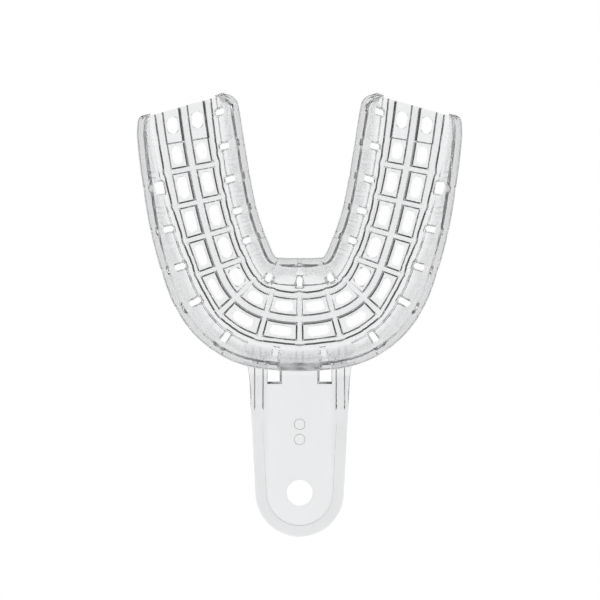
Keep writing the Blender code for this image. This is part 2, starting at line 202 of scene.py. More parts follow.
# The filled corner under the front of the outer rim: its half length, the two ends of its slope, how
# much later the slope starts at the midline, and how far the body goes into the wall.
GUSSET_HALF_S = 3.3
GUSSET_NEAR_D = 10.3
GUSSET_FAR_D = 12.2
GUSSET_LOW_Z = 7.1
GUSSET_HIGH_Z = 10.3
GUSSET_DIP = 0.5
GUSSET_BACK = 0.9
GUSSET_STEPS = 9
MARK_YS = (-25.0, -28.6)     # two round ejector marks
MARK_RADIUS = 1.2
MARK_DEPTH = 0.12
MARK_OVERLAP = 0.01          # a mark's cutter starts this far below the handle

# ---------------------------------------------------------------- material

BASE_COLOUR = (0.95, 0.955, 0.96, 1)
REFRACTIVE_INDEX = 1.57
ABSORPTION_COLOUR = (0.3, 0.34, 0.36, 1)
ABSORPTION_PER_METRE = 25.0
POLISHED_ROUGHNESS = 0.03
HAZY_TRANSMISSION = 0.86     # where the haze is full, at the rims
HAZY_ROUGHNESS = 0.08
HAZE_HEIGHTS = (3.0, 8.0)    # the walls grow hazier from the first height to the second
HANDLE_HAZE = 0.33           # haze of the handle, from HANDLE_HAZE_Y on, full after HANDLE_HAZE_RUN
HANDLE_HAZE_Y = -12.5
HANDLE_HAZE_RUN = 1.5
EDGE_HAZE = 1.7              # how much hazier the handle's edge is, and where that begins and is full
EDGE_HAZE_FROM = (6.8, 8.2)
FLOW_SCALE = 90.0            # soft clouds in the haze, as the plastic flowed into the mould
FLOW_DETAIL = 2.0
FLOW_NOISE = (0.3, 0.7)      # values of the noise that give the least and the most haze of FLOW_RANGE
FLOW_RANGE = (0.88, 1.12)

# ---------------------------------------------------------------- view and light

VIEW_WIDTH = 141.0           # width of the view at IN_SCALE_Z
IN_SCALE_Z = 6.0
VIEW_CENTRE = (0.09, 3.44)
CAMERA_HEIGHT = 800.0
SENSOR_WIDTH = 36.0
CLIP_METRES = (0.01, 20.0)
FLOOR_HALF = 3000.0
FLOOR_Z = -0.2
FLOOR_GLOW = 0.84
FLOOR_COLOUR = (0.9, 0.9, 0.9, 1)
FLOOR_ROUGHNESS = 0.9
WORLD_SIDE = 0.34            # light of the room at the sides, and straight above
WORLD_TOP = 0.07
WORLD_HEIGHTS = (0.35, 0.95)  # it fades between these heights on a sphere round the tray
SHARP_ANGLE = 32.0           # edges that turn by more than this many degrees are sharp
LIGHT_BOUNCES = 24


def curve_value(points, s):
    """Smooth interpolation through (s, value) points, with Hermite tangents from the neighbours."""
    s = min(max(abs(s), points[0][0]), points[-1][0])
    i = 0
    while i < len(points) - 2 and s > points[i + 1][0]:
        i += 1
    (s0, v0), (s1, v1) = points[i], points[i + 1]
    before = points[i - 1] if i else (2 * s0 - s1, v1)
    after = points[i + 2] if i + 2 < len(points) else (2 * s1 - s0, v1 + (v1 - v0))
    slope0 = (v1 - before[1]) / (s1 - before[0])
    slope1 = (after[1] - v0) / (after[0] - s0)
    t = (s - s0) / (s1 - s0)
    span = s1 - s0
    return (v0 * (1 + 2 * t) * (1 - t) ** 2 + slope0 * span * t * (1 - t) ** 2
            + v1 * t * t * (3 - 2 * t) - slope1 * span * t * t * (1 - t))


def centreline(s):
    """Point and heading of the right half's centreline at arc length s."""
    x = y = angle = 0.0
    left = s
    for radius, sweep in ARCH_ARCS:
        turn = min(left / radius, math.radians(sweep))
        x += radius * (math.sin(angle + turn) - math.sin(angle))
        y -= radius * (math.cos(angle + turn) - math.cos(angle))
        angle += turn
        left -= radius * turn
        if left <= TINY:
            break
    return x + left * math.cos(angle), y + left * math.sin(angle), angle


def mitred(s, d):
    """Arc length at which a heel section's place d lies, because the heels are cut at a slant."""
    lean = max(0.0, (s - MITRE_START_S) / (HEEL_S - MITRE_START_S))
    return s - HEEL_SLANT * d * lean


def arch_point(s, d):
    """x, y of the place at s along the arch and d sideways (outwards); s < 0 is the left half."""
    x, y, angle = centreline(mitred(abs(s), d))
    side = -1.0 if s < 0 else 1.0
    return side * (x + d * math.sin(angle)), y - d * math.cos(angle)


def stretch_at(s, d):
    """How much longer a step along s is at distance d than on the centreline."""
    return math.dist(arch_point(s - STRETCH_STEP, d), arch_point(s + STRETCH_STEP, d)) / (2 * STRETCH_STEP)


# ---------------------------------------------------------------- cross-section

def rib_side(run):
    """(place, height), both from 0 at the pocket to 1 at the rib's foot, down a rib's side."""
    steepness = run * CHAMFER_SLOPE / RELIEF
    heights = [place * steepness for place in WALL_PLACES[:4]] + list(UPRIGHT_HEIGHTS)
    return list(zip(WALL_PLACES, heights))


def step_height(t, run):
    """Height, 0 to 1, of a rib's side at t of its run."""
    if t <= 0:
        return 0.0
    shape = rib_side(run)
    for (t0, h0), (t1, h1) in zip(shape, shape[1:]):
        if t <= t1:
            return h0 + (h1 - h0) * (t - t0) / (t1 - t0)
    return 1.0


def cross_rib_height(s):
    """Height, 0 to 1, of the cross ribs at s."""
    nearest = min(CELLS_PER_SIDE, round(abs(s) / CELL_PITCH)) * CELL_PITCH
    away = abs(abs(s) - nearest)
    return step_height((CROSS_RIB_HALF + CROSS_RUN / 2 - away) / CROSS_RUN, CROSS_RUN)


def heel_recess(s):
    """How much deeper the last pockets are."""
    return HEEL_STEP_HEIGHT * min(1.0, max(0.0, (abs(s) - HEEL_STEP_S) / HEEL_STEP_RUN))


def bulge(s):
    """Swelling of the edge ribs where a cross rib meets them."""
    nearest = min(CELLS_PER_SIDE, round(abs(s) / CELL_PITCH)) * CELL_PITCH
    return RIB_BULGE * math.exp(-((abs(s) - nearest) / BULGE_LENGTH) ** 2)


def bead(s, slots):
    """1 on the full rim bead, 0 in the notch that a slot cuts in it."""
    away = min(abs(abs(s) - centre) for centre in slots)
    return min(1.0, max(0.0, (away - NOTCH_HALF) / NOTCH_RAMP))


def spread(a, b, count):
    """count places from a to b, both included."""
    return [a + (b - a) * i / (count - 1) for i in range(count)]


def slope(start, end, count):
    """count points on a straight line, both ends included."""
    return list(zip(spread(start[0], end[0], count), spread(start[1], end[1], count)))


def rim_top(reach, cut):
    """The rim's upper side, from its outer edge in; cut is 1 in a notch and 0 elsewhere."""
    outer = reach - NOTCH_INSET * cut
    top = RIM_TOP_Z - NOTCH_DROP * cut
    inner = reach - RIM_WIDTH
    points = []
    edge_width, edge_height = RIM_EDGE
    for step in range(RIM_EDGE_STEPS + 1):
        angle = math.pi / 2 * step / RIM_EDGE_STEPS
        points.append((outer - edge_width * (1 - math.cos(angle)), top - edge_height * (1 - math.sin(angle))))
    return points + [(reach - RIM_CREST[0], top - RIM_CREST[1]),
                     (reach - RIM_SHOULDER[0], top - RIM_SHOULDER[1] + NOTCH_EASE * cut),
                     (inner + RIM_TOE[0], RIM_BASE_Z + RIM_TOE[1] - NOTCH_EASE * cut),
                     (inner, RIM_BASE_Z + RIM_INNER_RISE - NOTCH_EASE * cut)]


def lingual_ledge(s):
    """Plan width and height of the gentle lower slope of the inner wall."""
    front = max(0.0, 1.0 - abs(s) / FRONT_LEDGE_S)
    return LEDGE_WIDTH + FRONT_LEDGE_WIDER * front, LEDGE_RISE - FRONT_LEDGE_LOWER * front


def wall_face(root, reach, s, is_lingual, cut):
    """The wall's upper face, from under the rim bead down to the floor, a little lower in a slot's groove."""
    high = (reach - RIM_INSET - WALL_THICKNESS, RIM_BASE_Z - FACE_DROP - GROOVE_DEPTH * cut)
    low = (root + WALL_FOOT[0], FLOOR_TOP_Z + WALL_FOOT[1])
    if not is_lingual:
        bend = ((high[0] + low[0]) / 2, (high[1] + low[1]) / 2)
    else:
        ledge, rise = lingual_ledge(s)
        bend = (root + ledge, low[1] + rise - GROOVE_DEPTH * cut)
    return slope(high, bend, FACE_COLUMNS) + slope(bend, low, FACE_COLUMNS)[1:]


def pocket_ends(pocket, sides):
    """Feet of the pocket's outer and inner sides."""
    _, outer_run, (half, inner_run) = sides
    return pocket - outer_run / 2, half + inner_run / 2


def pocket_block(pocket, sides):
    """Columns across the flat of one pocket, where its hole goes."""
    outer_foot, inner_foot = pocket_ends(pocket, sides)
    return spread(outer_foot - POCKET_INSET, inner_foot + POCKET_INSET, POCKET_COLUMNS)


def half_floor_top(root, pocket, sides):
    """Flat upper side of half the trough's floor."""
    points = [(root + outside, FLOOR_TOP_Z + rise) for outside, rise in FLOOR_EDGE]
    points.append(((root + pocket) / 2 - FLOOR_MIDDLE_SHIFT, FLOOR_TOP_Z))
    return points + [(d, FLOOR_TOP_Z) for d in pocket_block(pocket, sides)]


def half_floor_below(root, pocket, s, swell, sides):
    """Ribbed lower side of half the trough's floor, from the edge rib in to the middle rib."""
    cross = cross_rib_height(s)
    deeper = heel_recess(s)
    ceiling = UNDERSIDE_Z + RELIEF

    def relief(height):
        lift = deeper if height < UPRIGHT_HEIGHTS[0] else 0.0
        return ceiling + lift - RELIEF * (1.0 - (1.0 - height) * (1.0 - cross))

    run, outer_run, (_, inner_run) = sides
    outside = root + swell + run / 2
    points = [(outside - run * t, ceiling - RELIEF * h) for t, h in rib_side(run)]
    outer_foot, inner_foot = pocket_ends(pocket, sides)
    points += [(outer_foot + outer_run * t, relief(h)) for t, h in reversed(rib_side(outer_run))]
    points += [(d, relief(0.0)) for d in pocket_block(pocket, sides)]
    points += [(inner_foot - inner_run * t, relief(h)) for t, h in rib_side(inner_run)]
    return points


def wall_bottom(root, reach, s, is_lingual, cut):
    """Outer side of a wall, from the rim's outer edge down to the edge rib."""
    outer = reach - NOTCH_INSET * cut
    top = RIM_TOP_Z - NOTCH_DROP * cut
    face_top = (reach - RIM_INSET, RIM_BASE_Z - OUTER_DROP)
    if is_lingual:
        ledge, rise = lingual_ledge(s)
        face_low = (root + OUTER_FOOT, INNER_FOOT_Z + INNER_FOOT_SHARE * rise)
        bend = (root + ledge + WALL_BEND_SHIFT, FLOOR_TOP_Z + rise - WALL_BEND_SHIFT)
    else:
        face_low = (root + OUTER_FOOT, HANDLE_TOP_Z - OUTER_FOOT_DROP)
        bend = ((face_top[0] + face_low[0]) / 2, (face_top[1] + face_low[1]) / 2)
    points = [(outer - inset, top - drop) for inset, drop in RIM_UNDER_EDGE]
    points.append((outer - LIP_FOOT[0], RIM_BASE_Z - LIP_FOOT[1]))
    points += slope(face_top, bend, OUTER_COLUMNS) + slope(bend, face_low, OUTER_COLUMNS)[1:]
    under = UNDERSIDE_Z + RELIEF
    for step in range(1, OUTER_FOOT_STEPS + 1):
        angle = math.pi / 2 * step / OUTER_FOOT_STEPS
        points.append((root + OUTER_FOOT_FLAT + (OUTER_FOOT - OUTER_FOOT_FLAT) * math.cos(angle),
                       face_low[1] - (face_low[1] - under) * math.sin(angle)))
    return points


SIDES = {
    "buccal": (BUCCAL_EDGE, BUCCAL_POCKET, BUCCAL_RIM, BUCCAL_SIDES),
    "lingual": (LINGUAL_EDGE, LINGUAL_POCKET, LINGUAL_RIM, LINGUAL_SIDES),
}
SLOTS = {"buccal": BUCCAL_SLOTS, "lingual": LINGUAL_SLOTS}


def half_section(side, s):
    """Upper and lower points of one side's half section, from its rim in to the middle."""
    edge, pocket_curve, rim, sides = SIDES[side]
    sign = 1 if side == "buccal" else -1
    root = curve_value(edge, s)
    reach = curve_value(rim, s)
    for _ in range(REACH_STEPS):  # the heels are cut at a slant, so the rim's place depends on its reach
        reach = curve_value(rim, mitred(abs(s), sign * reach))
    swell = bulge(s)
    cut = 1.0 - bead(s, SLOTS[side])
    is_lingual = side == "lingual"
    upper = rim_top(reach, cut) + wall_face(root, reach, s, is_lingual, cut)
    pocket = curve_value(pocket_curve, s) + POCKET_BULGE_SHARE * swell
    upper += half_floor_top(root, pocket, sides)
    lower = wall_bottom(root, reach, s, is_lingual, cut) + half_floor_below(root, pocket, s, swell, sides)
    return upper, lower


def section(s):
    """Upper and lower points of the whole section at s, from the buccal rim to the lingual rim."""
    outer_upper, outer_lower = half_section("buccal", s)
    inner_upper, inner_lower = half_section("lingual", s)
    upper = outer_upper + [(0.0, FLOOR_TOP_Z)] + [(-d, z) for d, z in reversed(inner_upper)]
    lower = outer_lower + [(0.0, UNDERSIDE_Z)] + [(-d, z) for d, z in reversed(inner_lower)]
    return upper, lower


# ---------------------------------------------------------------- rows along the arch

def pocket_spans():
    """Where the pockets of one half start and end along the arch, apart from the deeper ones at the heel."""
    spans = []
    for n in range(CELLS_PER_SIDE + 1):
        end = (n + 1) * CELL_PITCH - POCKET_START if n < CELLS_PER_SIDE else HEEL_STEP_S - BEFORE_STEP
        spans.append((n * CELL_PITCH + POCKET_START, end))
    return spans


def rows_along_arch():
    """Places along the arch that the mesh has a row at, closest together where the shape turns."""
    places = []
    for n in range(CELLS_PER_SIDE + 1):
        rib = n * CELL_PITCH
        places.append(rib)
        for t in WALL_PLACES:
            for sign in (-1, 1):
                places.append(rib + sign * (CROSS_RIB_HALF + CROSS_RUN * (0.5 - t)))
    for low, high in pocket_spans():
        places += spread(low, high, POCKET_ROWS)
    places += [HEEL_STEP_S, HEEL_STEP_S + HEEL_STEP_RUN]
    places += spread(HEEL_STEP_S + AFTER_STEP, HEEL_S - LAST_ROW_BACK, 3 * POCKET_ROWS)
    for slots in SLOTS.values():
        for centre in slots:
            for sign in (-1, 1):
                places.append(centre + sign * (NOTCH_HALF - NOTCH_ROW_GAP))
                places.append(centre + sign * (NOTCH_HALF + NOTCH_RAMP + NOTCH_ROW_GAP))
    places = sorted(p for p in set(places) if -TINY <= p <= HEEL_S - LAST_ROW_BACK + TINY)
    kept = [0.0]
    for p in places:
        if p - kept[-1] > LEAST_ROW_GAP:
            kept.append(p)
    return [-p for p in reversed(kept[1:])] + kept


# ---------------------------------------------------------------- mesh of the trough

def rounded_reach(direction, half_along, half_across, corner):
    """How far a rounded rectangle's edge is from its centre in a direction."""
    ux, uy = abs(direction[0]), abs(direction[1])
    low, high = 0.0, 2.0 * (half_along + half_across)
    for _ in range(HALVINGS):
        t = (low + high) / 2
        qx = ux * t - (half_along - corner)
        qy = uy * t - (half_across - corner)
        outside = math.hypot(max(qx, 0.0), max(qy, 0.0)) + min(max(qx, qy), 0.0) - corner
        if outside > 0:
            high = t
        else:
            low = t
    return (low + high) / 2


def height_on(points, d, first, last):
    """z of a section's polyline at d, between two of its columns."""
    for j in range(first, last):
        (d0, z0), (d1, z1) = points[j], points[j + 1]
        if (d0 - d) * (d1 - d) <= 0 and d0 != d1:
            return z0 + (z1 - z0) * (d - d0) / (d1 - d0)
    near = min(points[first:last + 1], key=lambda point: abs(point[0] - d))
    return near[1]


class Trough:
    """The trough's mesh: rows of closed sections, with patches of rings round every hole."""

    def __init__(self):
        self.rows = rows_along_arch()
        self.sections = [section(s) for s in self.rows]
        self.upper_count = len(self.sections[0][0])
        self.lower_count = len(self.sections[0][1])
        self.points = []
        self.faces = []
        self.skipped = set()
        for s, (upper, lower) in zip(self.rows, self.sections):
            self.points += [self.place(s, d, z) for d, z in upper + lower]

    def place(self, s, d, z):
        return (*arch_point(s, d), z)

    def index(self, row, column, is_lower):
        size = self.upper_count + self.lower_count
        return row * size + (self.upper_count if is_lower else 0) + column

    def add(self, s, d, z):
        self.points.append(self.place(s, d, z))
        return len(self.points) - 1

    def border(self, rows, columns):
        """(row, column) of the vertices round a block, in order."""
        (r0, r1), (c0, c1) = rows, columns
        loop = [(r, c0) for r in range(r0, r1)] + [(r1, c) for c in range(c0, c1)]
        loop += [(r, c1) for r in range(r1, r0, -1)] + [(r0, c) for c in range(c1, c0, -1)]
        return loop

    def hole(self, rows, upper_columns, lower_columns, centre, half_along, half_across, corner, rings):
        """Replace a block of faces by rings that run in to a hole, down through it and out below.

        rings are (side, widening, inset, sharper): how much wider than the hole the ring is, how far it
        lies below the upper surface or above the lower one, and how much smaller its corners' radius is.
        """
        s0, d0 = centre
        stretch = stretch_at(s0, d0)
        loops = []
        for is_lower, columns in ((False, upper_columns), (True, lower_columns)):
            for r in range(rows[0], rows[1]):
                for c in range(columns[0], columns[1]):
                    self.skipped.add((r, c, is_lower))
            loops.append(self.border(rows, columns))
        directions = []
        for row, column in loops[0]:
            along = (self.rows[row] - s0) * stretch
            across = self.sections[row][0][column][0] - d0
            length = math.hypot(along, across)
            directions.append((along / length, across / length))
        chain = [[self.index(r, c, False) for r, c in loops[0]]]
        for is_lower, widening, inset, sharper in rings:
            ring = []
            for ux, uy in directions:
                reach = rounded_reach((ux, uy), half_along + widening, half_across + widening,
                                      min(corner + widening, half_along, half_across) - sharper)
                s = s0 + ux * reach / stretch
                d = d0 + uy * reach
                upper, lower = section(s)
                if is_lower:
                    z = height_on(lower, d, lower_columns[0] - 1, lower_columns[1] + 1) + inset
                else:
                    z = height_on(upper, d, upper_columns[0] - 1, upper_columns[1] + 1) - inset
                ring.append(self.add(s, d, z))
            chain.append(ring)
        chain.append([self.index(r, c, True) for r, c in loops[1]])
        for a, b in zip(chain, chain[1:]):
            for i in range(len(a)):
                j = (i + 1) % len(a)
                self.faces.append((a[i], a[j], b[j], b[i]))

    def nearest_row(self, s):
        return min(range(len(self.rows)), key=lambda r: abs(self.rows[r] - s))

    def finish(self):
        """Every face that no hole replaced, the narrow faces along both rims, and the rounded ends."""
        for r in range(len(self.rows) - 1):
            for is_lower, count in ((False, self.upper_count), (True, self.lower_count)):
                for c in range(count - 1):
                    if (r, c, is_lower) not in self.skipped:
                        self.faces.append((self.index(r, c, is_lower), self.index(r + 1, c, is_lower),
                                           self.index(r + 1, c + 1, is_lower), self.index(r, c + 1, is_lower)))
            for c_upper, c_lower in ((0, 0), (self.upper_count - 1, self.lower_count - 1)):
                self.faces.append((self.index(r, c_upper, False), self.index(r, c_lower, True),
                                   self.index(r + 1, c_lower, True), self.index(r + 1, c_upper, False)))
        self.cap(0, -1)
        self.cap(len(self.rows) - 1, 1)

    def cap(self, row, side):
        """Rounded end of a heel: a few more sections, a little smaller, and a face over the last."""
        ring = [self.index(row, c, False) for c in range(self.upper_count)]
        ring += [self.index(row, c, True) for c in reversed(range(self.lower_count))]
        for back, inset in CAP_RINGS:
            s = side * (HEEL_S - back)
            upper, lower = section(s)
            new_ring = [self.add(s, d, z) for d, z in offset_outline(upper + lower[::-1], inset)]
            for i in range(len(ring)):
                j = (i + 1) % len(ring)
                self.faces.append((ring[i], ring[j], new_ring[j], new_ring[i]))
            ring = new_ring
        self.faces.append(tuple(ring))


def offset_outline(outline, inset):
    """A closed outline moved inwards; outline runs over the top and back along the bottom."""
    count = len(outline)
    moved = []
    for i, (d, z) in enumerate(outline):
        (d0, z0), (d1, z1) = outline[i - 1], outline[(i + 1) % count]
        length = math.hypot(d1 - d0, z1 - z0) or 1.0
        moved.append((d - inset * (z1 - z0) / length, z + inset * (d1 - d0) / length))
    return moved


# Column numbers in a half section: its size, the pocket's block of faces, and a slot's block, each for the
# upper and the lower side.
UPPER_HALF = len(half_section("buccal", 0)[0])
LOWER_HALF = len(half_section("buccal", 0)[1])
POCKET_BLOCK = (UPPER_HALF - POCKET_COLUMNS, UPPER_HALF - 1)
POCKET_BLOCK_BELOW = (LOWER_HALF - POCKET_COLUMNS - len(WALL_PLACES), LOWER_HALF - 1 - len(WALL_PLACES))
SLOT_BLOCK = (9, 22)
SLOT_BLOCK_BELOW = (6, 19)
# Rings from a block's border to its hole and out again below; Trough.hole says what the numbers are.
FLOOR_HOLE_RINGS = ((False, 0.3, 0.0, 0.0), (False, 0.14, 0.05, 0.0), (False, 0.04, 0.17, 0.0),
                    (False, 0.0, 0.4, 0.0), (True, 0.0, 0.38, 0.0), (True, 0.04, 0.26, 0.2),
                    (True, 0.12, 0.08, 0.45), (True, 0.2, 0.0, 0.55))
SLOT_RINGS = ((False, 0.38, 0.0, 0.0), (False, 0.3, 0.25, 0.0), (False, 0.03, 0.45, 0.0),
              (True, 0.0, 0.5, 0.0), (True, 0.05, 0.3, 0.0), (True, 0.2, 0.27, 0.0), (True, 0.42, 0.02, 0.0))
FRAME_RINGS = ((False, 0.62, 0.0, 0.0), (False, 0.5, 0.12, 0.0), (False, 0.05, 0.2, 0.0),
               (True, 0.0, 0.5, 0.0), (True, 0.06, 0.36, 0.0), (True, 0.36, 0.34, 0.0), (True, 0.64, 0.02, 0.0))


def block_on_side(columns, half, side):
    """A half section's columns as columns of the whole section."""
    if side == "buccal":
        return columns
    last = 2 * half
    return last - columns[1], last - columns[0]


def cut_floor_hole(trough, side, low_s, high_s, centre_s, longest):
    """The hole in the floor of the pocket between low_s and high_s."""
    upper_columns = block_on_side(POCKET_BLOCK, UPPER_HALF, side)
    lower_columns = block_on_side(POCKET_BLOCK_BELOW, LOWER_HALF, side)
    rows = (trough.nearest_row(low_s), trough.nearest_row(high_s))
    upper = section(centre_s)[0]
    edge_d, other_d = upper[upper_columns[0]][0], upper[upper_columns[1]][0]
    centre_d = (edge_d + other_d) / 2
    half_across = abs(edge_d - other_d) / 2 + POCKET_INSET - HOLE_SIDE_MARGIN
    pocket = (high_s - low_s) * stretch_at(centre_s, centre_d)
    half_along = min(longest, pocket - 2 * HOLE_END_MARGIN) / 2
    corner = min(HOLE_CORNER, half_across - CORNER_ROOM, half_along - CORNER_ROOM)
    trough.hole(rows, upper_columns, lower_columns, (centre_s, centre_d), half_along, half_across,
                corner, FLOOR_HOLE_RINGS)


def cut_slot(trough, side, s):
    """The slot through a wall at s, cut straight down as the mould's blade leaves it."""
    near, far, length = SLOTS[side][abs(s)]
    sign = 1 if side == "buccal" else -1
    half_along = length / 2
    room = (half_along + SLOT_ROOM) / stretch_at(s, sign * near)
    rows = (trough.nearest_row(s - room), trough.nearest_row(s + room))
    centre_d = sign * (near + far) / 2
    half_across = (far - near) / 2
    is_framed = side == "lingual" and abs(s) in FRAMED_SLOTS
    trough.hole(rows, block_on_side(SLOT_BLOCK, UPPER_HALF, side),
                block_on_side(SLOT_BLOCK_BELOW, LOWER_HALF, side), (s, centre_d), half_along, half_across,
                SLOT_CORNER, FRAME_RINGS if is_framed else SLOT_RINGS)


def make_trough():
    """The trough with all its holes and slots."""
    trough = Trough()
    for side in SIDES:
        for sign in (-1, 1):
            for low, high in pocket_spans():
                ends = sorted((sign * low, sign * high))
                cut_floor_hole(trough, side, *ends, sum(ends) / 2, LONGEST_HOLE)
            ends = sorted((sign * (HEEL_STEP_S + AFTER_STEP), sign * (HEEL_S - LAST_ROW_BACK)))
            cut_floor_hole(trough, side, *ends, sign * HEEL_HOLE_S, HEEL_HOLE_LENGTH)
        for s in SLOTS[side]:
            for sign in (-1, 1) if s else (1,):
                cut_slot(trough, side, sign * s)
    trough.finish()
    return add_mesh("trough", trough.points, trough.faces)


# ---------------------------------------------------------------- solids

def add_mesh(name, points, faces):
    """A closed mesh from points in mm, measured from the arch's front, with its faces pointing out."""
    bm = bmesh.new()
    vertices = [bm.verts.new((x * MM, (y + FRONT_Y) * MM, z * MM)) for x, y, z in points]
    for face in faces:
        bm.faces.new([vertices[i] for i in face])
    loose = [vertex for vertex in bm.verts if not vertex.link_faces]
    bmesh.ops.delete(bm, geom=loose, context="VERTS")
    bmesh.ops.recalc_face_normals(bm, faces=bm.faces)
    mesh = bpy.data.meshes.new(name)
    bm.to_mesh(mesh)
    bm.free()
    obj = bpy.data.objects.new(name, mesh)
    bpy.context.scene.collection.objects.link(obj)
    return obj


def combine(base, tool, operation):
    """Boolean of two objects; the tool is used up."""
    modifier = base.modifiers.new(operation.lower(), "BOOLEAN")
    modifier.operation = operation
    modifier.solver = "EXACT"
    modifier.object = tool
    bake(base)
    bpy.data.objects.remove(tool)


def bake(obj):
    """Apply the object's modifiers."""
    depsgraph = bpy.context.evaluated_depsgraph_get()
    mesh = bpy.data.meshes.new_from_object(obj.evaluated_get(depsgraph))
    obj.modifiers.clear()
    obj.data = mesh


def handle_half(y):
    """Half width of the handle at y, which tapers to the round end and flares out at the root."""
    t = min(1.0, max(0.0, (RAIL_REAR_Y - y) / (RAIL_REAR_Y - HANDLE_END_Y)))
    flare = max(0.0, (y - HANDLE_FLARE_Y) / (HANDLE_ROOT_Y - HANDLE_FLARE_Y))
    return (HANDLE_ROOT_HALF + (HANDLE_END_HALF - HANDLE_ROOT_HALF) * t
            + (HANDLE_FLARE_HALF - HANDLE_ROOT_HALF) * flare ** 2)


def handle_side(inset):
    """The handle's right side and half of its round end, moved inwards by inset."""
    points = [(handle_half(y) - inset, y) for y in spread(HANDLE_ROOT_Y, HANDLE_END_Y, HANDLE_STEPS)]
    radius = HANDLE_END_HALF - inset
    for step in range(1, HANDLE_STEPS + 1):
        angle = math.pi / 2 * step / HANDLE_STEPS
        points.append((radius * math.cos(angle), HANDLE_END_Y - radius * math.sin(angle)))
    return points


def handle_ring(inset, low_z, depth):
    """One ring round the handle; depth is how far the thicker edge, away from the root, is below low_z."""
    right = handle_side(inset)
    rear = spread(-HANDLE_REAR_S, HANDLE_REAR_S, HANDLE_REAR_POINTS)
    outline = [arch_point(s, HANDLE_REAR_D + REAR_INSET_SHARE * inset) for s in rear]
    outline += right + [(-x, y) for x, y in reversed(right[:-1])]
    ring = []
    for x, y in outline:
        t = min(1.0, max(0.0, (ROLL_START_Y - y) / ROLL_FADE))
        ring.append((x, y, low_z - depth * t * t * (3 - 2 * t)))
    return ring


def loft(name, rings):
    """A closed body through rings of equally many points, with a face over the first and the last."""
    count = len(rings[0])
    points = [point for ring in rings for point in ring]
    last = (len(rings) - 1) * count
    faces = [tuple(range(count)), tuple(range(last, last + count))]
    for start in range(0, last, count):
        for i in range(count):
            j = (i + 1) % count
            faces.append((start + i, start + j, start + count + j, start + count + i))
    return add_mesh(name, points, faces)


def prism(name, low, high):
    """A closed body between two outlines of (x, y) points at two heights."""
    (low_outline, low_z), (high_outline, high_z) = low, high
    return loft(name, [[(x, y, low_z) for x, y in low_outline], [(x, y, high_z) for x, y in high_outline]])


def rectangle(low_x, high_x, low_y, high_y):
    return [(low_x, low_y), (high_x, low_y), (high_x, high_y), (low_x, high_y)]


def leaning_block(name, sign, sides, lean, low_z, high_z):
    """A block on one side of the handle; lean is how much further each side reaches at its lower end."""
    inner_x, outer_x, front_y, rear_y = sides
    low_xs = sorted((sign * (inner_x - lean[0]), sign * (outer_x + lean[1])))
    high_xs = sorted((sign * inner_x, sign * outer_x))
    return prism(name, (rectangle(*low_xs, front_y - lean[2], rear_y + lean[3]), low_z),
                 (rectangle(*high_xs, front_y, rear_y), high_z))


def make_rail(sign):
    """A rail under the handle: upright sides, flared at the top, and a long ramp in front."""
    rings = []
    for flare, front, z in ((0.0, RAIL_FRONT_Y + RAIL_RAMP, UNDERSIDE_Z),
                            (0.0, RAIL_FRONT_Y + RAIL_RAMP_BEND * RAIL_RAMP, HANDLE_LOW_Z - RAIL_FLARE),
                            (RAIL_FLARE, RAIL_FRONT_Y, HANDLE_LOW_Z + OVERLAP)):
        xs = sorted((sign * (RAIL_INNER_X + RAIL_FLARE - flare), sign * (RAIL_OUTER_X - RAIL_FLARE + flare)))
        rings.append([(x, y, z) for x, y in rectangle(*xs, front, RAIL_REAR_Y)])
    return loft("rail", rings)


def circle(x, y, radius, count=64):
    return [(x + radius * math.cos(2 * math.pi * i / count), y + radius * math.sin(2 * math.pi * i / count))
            for i in range(count)]


def make_handle():
    """The handle, its hole, windows, rails and marks; its rear end is inside the trough's front wall."""
    rings = [handle_ring(inset, z, 0.0) for inset, z in HANDLE_TOP_EDGE]
    rings += [handle_ring(inset, z, ROLL_HEIGHT * share) for inset, z, share in HANDLE_LOW_EDGE]
    plate = loft("handle", rings)
    low_circle, high_circle = (circle(0.0, HANDLE_END_Y, radius) for radius in HANG_HOLE_RADII)
    hole = prism("hanging_hole", (low_circle, THROUGH_LOW_Z), (high_circle, THROUGH_HIGH_Z))
    combine(plate, hole, "DIFFERENCE")
    for y in MARK_YS:
        mark = prism("pin_mark", (circle(0.0, y, MARK_RADIUS + MARK_DEPTH), HANDLE_LOW_Z - MARK_OVERLAP),
                     (circle(0.0, y, MARK_RADIUS), HANDLE_LOW_Z + MARK_DEPTH))
        combine(plate, mark, "DIFFERENCE")
    for sign in (-1, 1):
        combine(plate, make_rail(sign), "UNION")
        window = (WINDOW_INNER_X, WINDOW_OUTER_X, WINDOW_FRONT_Y, WINDOW_REAR_Y)
        upright = leaning_block("window", sign, window, (0, 0, 0, 0), 0.0, THROUGH_HIGH_Z)
        combine(plate, upright, "DIFFERENCE")
        chamfer = leaning_block("window", sign, window, WINDOW_LEAN, HANDLE_LOW_Z - OVERLAP,
                                HANDLE_LOW_Z + WINDOW_CHAMFER)
        combine(plate, chamfer, "DIFFERENCE")
    return plate


def make_gusset():
    """The filled corner under the front of the outer rim, between the windows, thinner at the midline."""
    low = []
    high = []
    for s in spread(-GUSSET_HALF_S, GUSSET_HALF_S, GUSSET_STEPS):
        low.append(arch_point(s, GUSSET_NEAR_D + GUSSET_DIP * (1.0 - abs(s) / GUSSET_HALF_S)))
        high.append(arch_point(s, GUSSET_FAR_D))
    for s in spread(GUSSET_HALF_S, -GUSSET_HALF_S, GUSSET_STEPS):
        low.append(arch_point(s, GUSSET_NEAR_D - GUSSET_BACK))
        high.append(arch_point(s, GUSSET_NEAR_D))
    return prism("gusset", (low, GUSSET_LOW_Z), (high, GUSSET_HIGH_Z))


# ---------------------------------------------------------------- material

